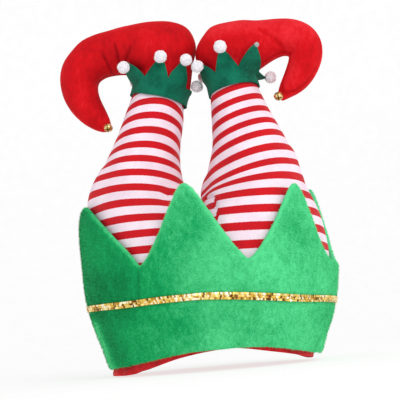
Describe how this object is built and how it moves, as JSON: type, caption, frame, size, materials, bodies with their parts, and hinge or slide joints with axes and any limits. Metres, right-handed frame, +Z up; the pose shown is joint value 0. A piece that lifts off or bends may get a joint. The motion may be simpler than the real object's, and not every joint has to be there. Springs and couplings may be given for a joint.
{
  "type": "elf hat",
  "caption": "Novelty elf hat: a pointed plush cuff over a soft cap, with stuffed striped legs standing up out of it in curled shoes.",
  "frame": {"origin": "the middle of the hat's footprint, on the surface that its rim stands on", "axes": "+Z up through the crown to the soles of the shoes, -Y the front of the hat, +X to the right as the front is seen"},
  "size_m": [0.2716, 0.2202, 0.3542],
  "materials": {
    "red_lining": "thin knitted lining, slightly creased",
    "green_plush": "short pile plush with a blotchy nap",
    "gold_sequin": "shiny sequin band",
    "striped_jersey": "knitted jersey with red and white stripes",
    "red_velour": "short pile velour",
    "dark_green_felt": "matt craft felt",
    "brass": "polished",
    "white_pompom": "fluffy yarn"
  },
  "bodies": {
    "root": {"lining": "red_lining", "plush_cuff": "green_plush", "gold_trim": "gold_sequin", "left_leg": "striped_jersey", "left_shoe": "red_velour", "left_ankle_cuff": "dark_green_felt", "left_bell": "brass", "left_pompom_1": "white_pompom", "left_pompom_2": "white_pompom", "left_pompom_3": "white_pompom", "left_pompom_4": "white_pompom", "left_pompom_5": "white_pompom", "left_pompom_6": "white_pompom", "right_leg": "striped_jersey", "right_shoe": "red_velour", "right_ankle_cuff": "dark_green_felt", "right_bell": "brass", "right_pompom_1": "white_pompom", "right_pompom_2": "white_pompom", "right_pompom_tuft": "white_pompom", "right_pompom_4": "white_pompom", "right_pompom_5": "white_pompom", "right_pompom_6": "white_pompom"}
  },
  "joints": []
}
